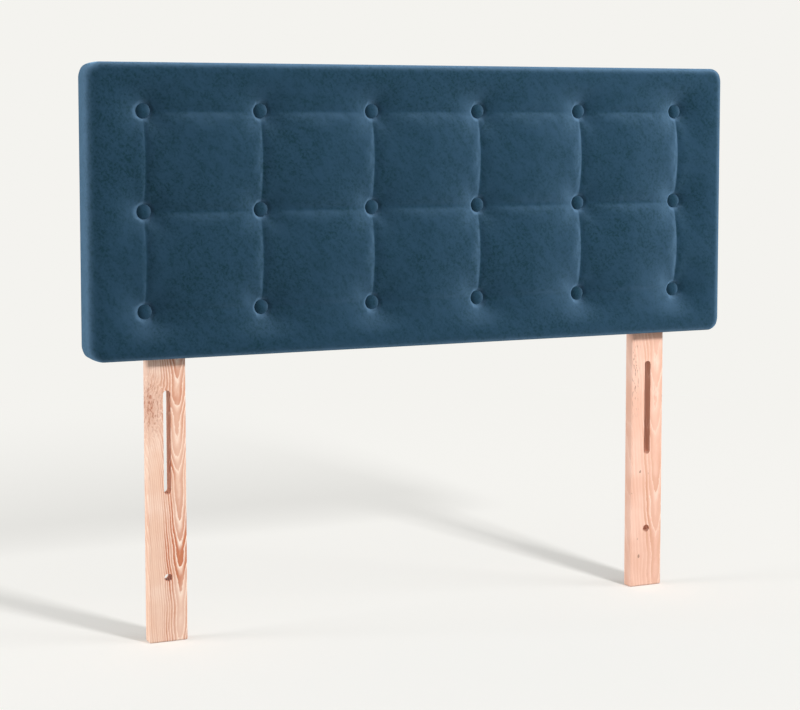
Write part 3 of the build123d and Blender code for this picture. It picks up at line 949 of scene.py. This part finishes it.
# %% The velvet's finish
def make_velvet(name, patch_scale, grain_scale, most_painted_sheen, painted_light_way, most_shade):
    """Velvet with a painted sheen seen aslant, painted light one way and painted shade the other."""
    material, tree, shader, place = new_material(name)
    values = {"Vector": place, "Patch Scale": patch_scale, "Grain Scale": grain_scale}
    pile = use_group(tree, pile_group, values)
    lay = pile.outputs["Lay"]
    dark, light = colour(23, 49, 59), colour(39, 65, 85)
    # The lighter blue is a painted sheen colour, and the darkest colour is for painted shade.
    painted_sheen_colour, shade = colour(124, 160, 194), colour(12, 30, 38)
    facing = add_node(tree, "ShaderNodeLayerWeight", {"Blend": 0.5}).outputs["Facing"]
    raised = rescale(tree, lay, 0.0, 1.0, 0.85, 1.15)
    normal = add_node(tree, "ShaderNodeNewGeometry").outputs["Normal"]
    # Painted light: faces that look the given way get more of the lighter blue.
    along = combine(tree, "DOT_PRODUCT", normal, painted_light_way, "Value")
    painted_light_share = rescale(tree, along, 0.05, 0.95, 0.0, 0.18)
    # Painted sheen: the lighter blue is mixed in where the surface is seen aslant, a little less at the
    # steepest.
    steep = times(tree, rescale(tree, facing, 0.50, 0.90), -0.20)
    painted_sheen_and_light = calculate(tree, "ADD", rescale(tree, facing, 0.05, 0.85, 0.0, most_painted_sheen), steep)
    painted_sheen_and_light = times(tree, calculate(tree, "ADD", painted_sheen_and_light, painted_light_share), raised)
    pile_colour = blend_colours(tree, lay, dark, light)
    # Painted shade: faces that look away from the given way are mixed towards the darkest colour.
    shaded = rescale(tree, times(tree, along, -1.0), 0.02, 0.55, 0.0, most_shade)
    with_painted_sheen = blend_colours(tree, painted_sheen_and_light, pile_colour, painted_sheen_colour)
    base = blend_colours(tree, shaded, with_painted_sheen, shade)
    roughness = rescale(tree, lay, 0.0, 1.0, 0.95, 0.80)
    set_inputs(tree, shader, {"Base Color": base, "Roughness": roughness})
    add_bump(tree, shader, pile.outputs["Height"], 0.2, 0.3 * MM)
    shader.inputs["Specular IOR Level"].default_value = 0.0
    shader.inputs["Sheen Weight"].default_value = 0.45
    shader.inputs["Sheen Roughness"].default_value = 0.45
    shader.inputs["Sheen Tint"].default_value = (0.36, 0.68, 1.0, 1.0)
    return material


def dress(piece, material):
    """Gives every face of a piece one material."""
    slots = piece.material_slots
    if not slots:
        piece.data.materials.append(material)
    for place in slots:
        place.link = "OBJECT"
        place.material = material


# The cover gets painted light from above; the buttons get painted light on their right and painted
# shade on their left.
velvet = make_velvet("petrol_velvet", 62.0, 260.0, 0.37, (0, 0, 1), 0.0)
button_velvet = make_velvet("petrol_velvet_button", 90.0, 700.0, 0.09, (0.95, 0, 0.20), 0.5)
dress(cover, velvet)
for button in buttons:
    dress(button, button_velvet)
print("velvet on", 1 + len(buttons), "pieces")

# %% [markdown]
# ## Larch legs
#
# Flat-sawn larch shows nested flames where the saw met the growth rings almost along their
# surface, and straight lines beside them. Rings are cones round the pith, so the distance from a
# line a few millimetres inside the board, less a little for the height, gives both at once. Each
# ring has a strength of its own, and noise keeps them from looking drawn. A knot beside the left
# leg's slot pushes the rings aside and curls the grain round it. The right leg is a plainer board
# with wide rings, and resin shows beside its slot in short dark dashes.

# %% Growth rings, as a node group
resin_depth, mark_sharpness = 0.8 * MM, 2600.0


def make_ring_group():
    """Masks for the dark and pale part of a ring, the fibres, the knot and the resin, and a height."""
    inputs = [
        ("Vector", VECTOR, None), ("Pith Depth", FLOAT, 0.009), ("Taper", FLOAT, 0.07),
        ("Ring Width", FLOAT, 0.0030), ("Waviness", FLOAT, 0.0040), ("Jaggedness", FLOAT, 0.0012),
        ("Knot", FLOAT, 0.0), ("Resin", FLOAT, 0.0),
        ("Mark Across", FLOAT, 0.0), ("Mark Up", FLOAT, 0.0), ("Mark Squash", FLOAT, 0.55),
    ]
    masks = ("Late Wood", "Pale Line", "Fibre", "Curl", "Dashes")
    outputs = [(label, FLOAT) for label in (*masks, "Height")]
    group, get, end = new_group("growth_rings", inputs, outputs)

    def math_node(operation, first, second=0.0, third=0.0):
        return calculate(group, operation, first, second, third)

    def stretched_noise(across_scale, up_scale, detail, seed, roughness=0.5):
        """Noise drawn out along the grain, from -0.5 to 0.5."""
        scale = (across_scale, across_scale, up_scale)
        mapping = {"Vector": get["Vector"], "Location": (seed,) * 3, "Scale": scale}
        scaled = add_node(group, "ShaderNodeMapping", mapping).outputs[0]
        return math_node("SUBTRACT", noise(group, scaled, 1.0, detail, roughness), 0.5)

    split = add_node(group, "ShaderNodeSeparateXYZ", {0: get["Vector"]})
    x, y, z = split.outputs[0], split.outputs[1], split.outputs[2]
    swayed = math_node("MULTIPLY_ADD", stretched_noise(6.0, 4.0, 1.0, 3.1), 0.018, x)
    deep = math_node("SUBTRACT", y, get["Pith Depth"])
    distance = math_node("MULTIPLY_ADD", swayed, swayed, times(group, deep, deep))
    distance = math_node("SQRT", distance)
    cone = math_node("SUBTRACT", distance, times(group, z, get["Taper"]))
    cone = math_node("MULTIPLY_ADD", y, 0.25, cone)
    cone = math_node("MULTIPLY_ADD", stretched_noise(4.0, 12.0, 1.0, 12.6), 0.012, cone)
    wave = math_node("MULTIPLY_ADD", stretched_noise(55.0, 16.0, 2.0, 0.0), get["Waviness"], cone)
    ragged = stretched_noise(420.0, 160.0, 3.0, 8.2, 0.6)
    jagged = math_node("MULTIPLY_ADD", ragged, get["Jaggedness"], wave)

    off_x = math_node("SUBTRACT", x, get["Mark Across"])
    off_z = times(group, math_node("SUBTRACT", z, get["Mark Up"]), get["Mark Squash"])
    mark_squares = math_node("MULTIPLY_ADD", off_x, off_x, times(group, off_z, off_z))
    near_mark = math_node("EXPONENT", times(group, mark_squares, -mark_sharpness))
    has_knot = math_node("GREATER_THAN", math_node("ABSOLUTE", get["Knot"]), 0.0)
    near_knot = times(group, near_mark, has_knot)
    curl = times(group, stretched_noise(170.0, 100.0, 2.0, 7.7), 0.022)
    rings = math_node("MULTIPLY_ADD", near_knot, math_node("ADD", get["Knot"], curl), jagged)

    turns = math_node("DIVIDE", rings, get["Ring Width"])
    share = math_node("FRACT", turns)
    which = {"W": math_node("FLOOR", turns)}
    strength = add_node(group, "ShaderNodeTexWhiteNoise", which, noise_dimensions="1D").outputs["Value"]
    strength = math_node("MULTIPLY_ADD", strength, 0.5, 0.5)
    patchy = rescale(group, stretched_noise(45.0, 9.0, 2.0, 5.5), -0.20, 0.12, 0.50, 1.0)
    near_pith = rescale(group, math_node("ABSOLUTE", swayed), 0.018, 0.028, 1.0, 0.34)
    strength = times(group, times(group, strength, patchy), near_pith)
    growing, ending = rescale(group, share, 0.0, 0.62), rescale(group, share, 0.92, 1.0, 1.0, 0.0)
    late = times(group, growing, ending)
    after = rescale(group, share, 0.0, 0.16, 1.0, 0.0)
    pale = math_node("MINIMUM", math_node("ADD", rescale(group, share, 0.93, 1.0), after), 1.0)
    finer = rescale(group, math_node("FRACT", times(group, turns, 3.0)), 0.2, 0.9)
    late = math_node("MAXIMUM", late, times(group, finer, 0.45))

    fine_streaks = stretched_noise(2600.0, 90.0, 2.0, 4.4)
    streaks = math_node("ADD", stretched_noise(900.0, 14.0, 3.0, 1.9), fine_streaks)
    fibre = rescale(group, streaks, -0.26, 0.26)
    squiggle = rescale(group, stretched_noise(430.0, 190.0, 3.0, 2.2), -0.02, 0.14)
    curled = times(group, near_knot, math_node("MULTIPLY_ADD", squiggle, 0.66, 0.34))
    dash = rescale(group, stretched_noise(480.0, 110.0, 2.0, 6.1), 0.04, 0.14)
    specks = rescale(group, stretched_noise(150.0, 90.0, 0.0, 9.4), 0.335, 0.38)
    dash = times(group, dash, math_node("POWER", near_mark, 8.0))
    dashes = math_node("MAXIMUM", dash, times(group, specks, 0.8))
    on_front = math_node("LESS_THAN", y, resin_depth)
    dashes = times(group, times(group, dashes, get["Resin"]), on_front)
    height = math_node("MULTIPLY_ADD", late, 0.7, times(group, fibre, 0.3))
    late, pale = times(group, late, strength), times(group, pale, strength)
    values = (late, pale, fibre, curled, dashes, height)
    set_inputs(group, end, {label: value for (label, _), value in zip(outputs, values)})
    return group


ring_group = make_ring_group()
print("ring group with", len(ring_group.nodes), "nodes")


# %% Finish of sawn wood
def make_wood(name, palette, centre, turn=(0, 0, 0), contrast=1.0, **ring_values):
    """Sawn wood, with its pith at a centre and its grain along the turned Z axis."""
    material, tree, shader, place = new_material(name)
    local = {"Vector": combine(tree, "SUBTRACT", place, centre), "Rotation": turn}
    aligned = add_node(tree, "ShaderNodeVectorRotate", local, rotation_type="EULER_XYZ").outputs[0]
    rings = use_group(tree, ring_group, {"Vector": aligned, **ring_values})
    pale, warm, dark, resin = (colour(*tone) for tone in palette)

    def laid(base, mask, amount, over):
        share = times(tree, rings.outputs[mask], min(amount, 1.3))
        return blend_colours(tree, share, base, over)

    wood = blend_colours(tree, rescale(tree, noise(tree, place, 18.0), 0.34, 0.66), pale, warm)
    wood = laid(wood, "Fibre", 0.5, warm)
    wood = laid(wood, "Late Wood", contrast, dark)
    wood = laid(wood, "Pale Line", 0.7 * contrast**2, colour(255, 233, 218))
    wood = laid(wood, "Curl", 1.0, colour(176, 112, 86))
    wood = laid(wood, "Dashes", 0.75, resin)
    roughness = rescale(tree, rings.outputs["Late Wood"], 0.0, 1.0, 0.62, 0.50)
    set_inputs(tree, shader, {"Base Color": wood, "Roughness": roughness})
    add_bump(tree, shader, rings.outputs["Height"], 0.4, 0.15 * MM)
    shader.inputs["Specular IOR Level"].default_value = 0.25
    return material


# %% Wood on the legs and the frame
larch = ((253, 226, 207), (243, 206, 182), (200, 124, 90), (118, 82, 66))
plain_larch = ((245, 205, 186), (235, 188, 166), (211, 152, 123), (118, 82, 66))
pith_across = 16.5 * MM
left_grain = {"contrast": 1.3, "Knot": -0.022, "Mark Across": -41 * MM, "Mark Up": 0.240}
right_grain = {
    "contrast": 0.9, "Ring Width": 0.0056, "Waviness": 0.008, "Jaggedness": 0.0022,
    "Mark Across": -38.5 * MM, "Mark Up": 0.247, "Mark Squash": 0.12, "Resin": 1.0,
}
leg_finishes = {"left_leg": (larch, left_grain), "right_leg": (plain_larch, right_grain)}
for name, (palette, grain) in leg_finishes.items():
    centre = (middle(name).x + pith_across, 0, 0)
    dress(nodes[name], make_wood(f"larch_{name}", palette, centre, **grain))

pine = ((230, 206, 166), (216, 188, 143), (186, 148, 100), (120, 90, 60))
frame_pieces = [name for name in nodes if name.startswith("frame_") and name != "frame_screws"]
for name in frame_pieces + ["left_leg_guide", "right_leg_guide"]:
    centre = (middle(name).x, -20 * MM, middle(name).z)
    turn = (0, upright, 0) if name.endswith("_rail") else (0, 0, 0)
    dress(nodes[name], make_wood(f"pine_{name}", pine, centre, turn, Taper=0.02))
print("wood on the legs and the frame")

# %% [markdown]
# ## Plywood, cloth, twine, plastic and metal
#
# Plywood shows its layers at a cut edge and quiet grain on its faces. The non-woven cloth is a
# felt of pressed fibres. Zinc-plated steel is grey, slightly blotchy and a little rough.

# %% Plywood, and finishes in two close colours
def make_plywood():
    """Plywood with its layers at the cut edges and quiet grain on its faces."""
    material, tree, shader, place = new_material("birch_plywood")
    split = add_node(tree, "ShaderNodeSeparateXYZ", {0: place})
    layers = calculate(tree, "FRACT", calculate(tree, "DIVIDE", split.outputs["Y"], 3.0 * MM))
    line = rescale(tree, layers, 0.45, 0.55)
    drawn_out = add_node(tree, "ShaderNodeMapping", {"Vector": place, "Scale": (14, 400, 260)})
    grain = rescale(tree, noise(tree, drawn_out.outputs[0], 1.0, 4.0), 0.3, 0.7)
    veneer = blend_colours(tree, grain, colour(214, 188, 148), colour(196, 166, 124))
    base = blend_colours(tree, line, veneer, colour(176, 144, 104))
    set_inputs(tree, shader, {"Base Color": base, "Roughness": 0.65})
    return material


def make_plain(name, first, second, scale, roughness, metallic=0.0, bump_depth=0.05 * MM):
    """A finish of two close colours in fine blotches, with a matching roughness and bump."""
    material, tree, shader, place = new_material(name)
    cloudy = noise(tree, place, scale, 4.0, 0.6)
    mask = rescale(tree, cloudy, 0.3, 0.7)
    base = blend_colours(tree, mask, colour(*first), colour(*second))
    varied = rescale(tree, mask, 0.0, 1.0, roughness - 0.06, roughness + 0.06)
    set_inputs(tree, shader, {"Base Color": base, "Roughness": varied})
    add_bump(tree, shader, cloudy, 0.3, bump_depth)
    shader.inputs["Metallic"].default_value = metallic
    return material


# %% The other finishes, each on its pieces
plywood = make_plywood()
felt = make_plain("black_felt", (34, 34, 36), (52, 52, 55), 900.0, 0.85, bump_depth=0.2 * MM)
zinc = make_plain("zinc_plate", (176, 178, 180), (150, 153, 156), 160.0, 0.34, metallic=1.0)
wax_twine = make_plain("waxed_twine", (214, 203, 178), (190, 178, 150), 1500.0, 0.6)
nylon = make_plain("white_nylon", (226, 226, 222), (214, 214, 210), 300.0, 0.45)
dress(nodes["face_board"], plywood)
dress(back_cloth, felt)
steel_ends = ("_clamp_bolts", "_clamp_washers", "_tee_nuts", "staples", "frame_screws")
for name in nodes:
    if name.endswith(steel_ends):
        dress(nodes[name], zinc)
dress(nodes["button_twines"], wax_twine)
dress(nodes["twine_anchors"], nylon)
print("finishes:", len(bpy.data.materials))

# %% [markdown]
# ## Size of the finished model
#
# How far the looks stand proud of the construction is worked out from both boxes. The looks may
# stand proud of the construction only by a few millimetres.

# %% Measures at the end
low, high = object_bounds()
grown_low, grown_high = np.array(cad_low) - np.array(low), np.array(high) - np.array(cad_high)
print("grown by", np.round(grown_low / MM, 2), np.round(grown_high / MM, 2), "mm")
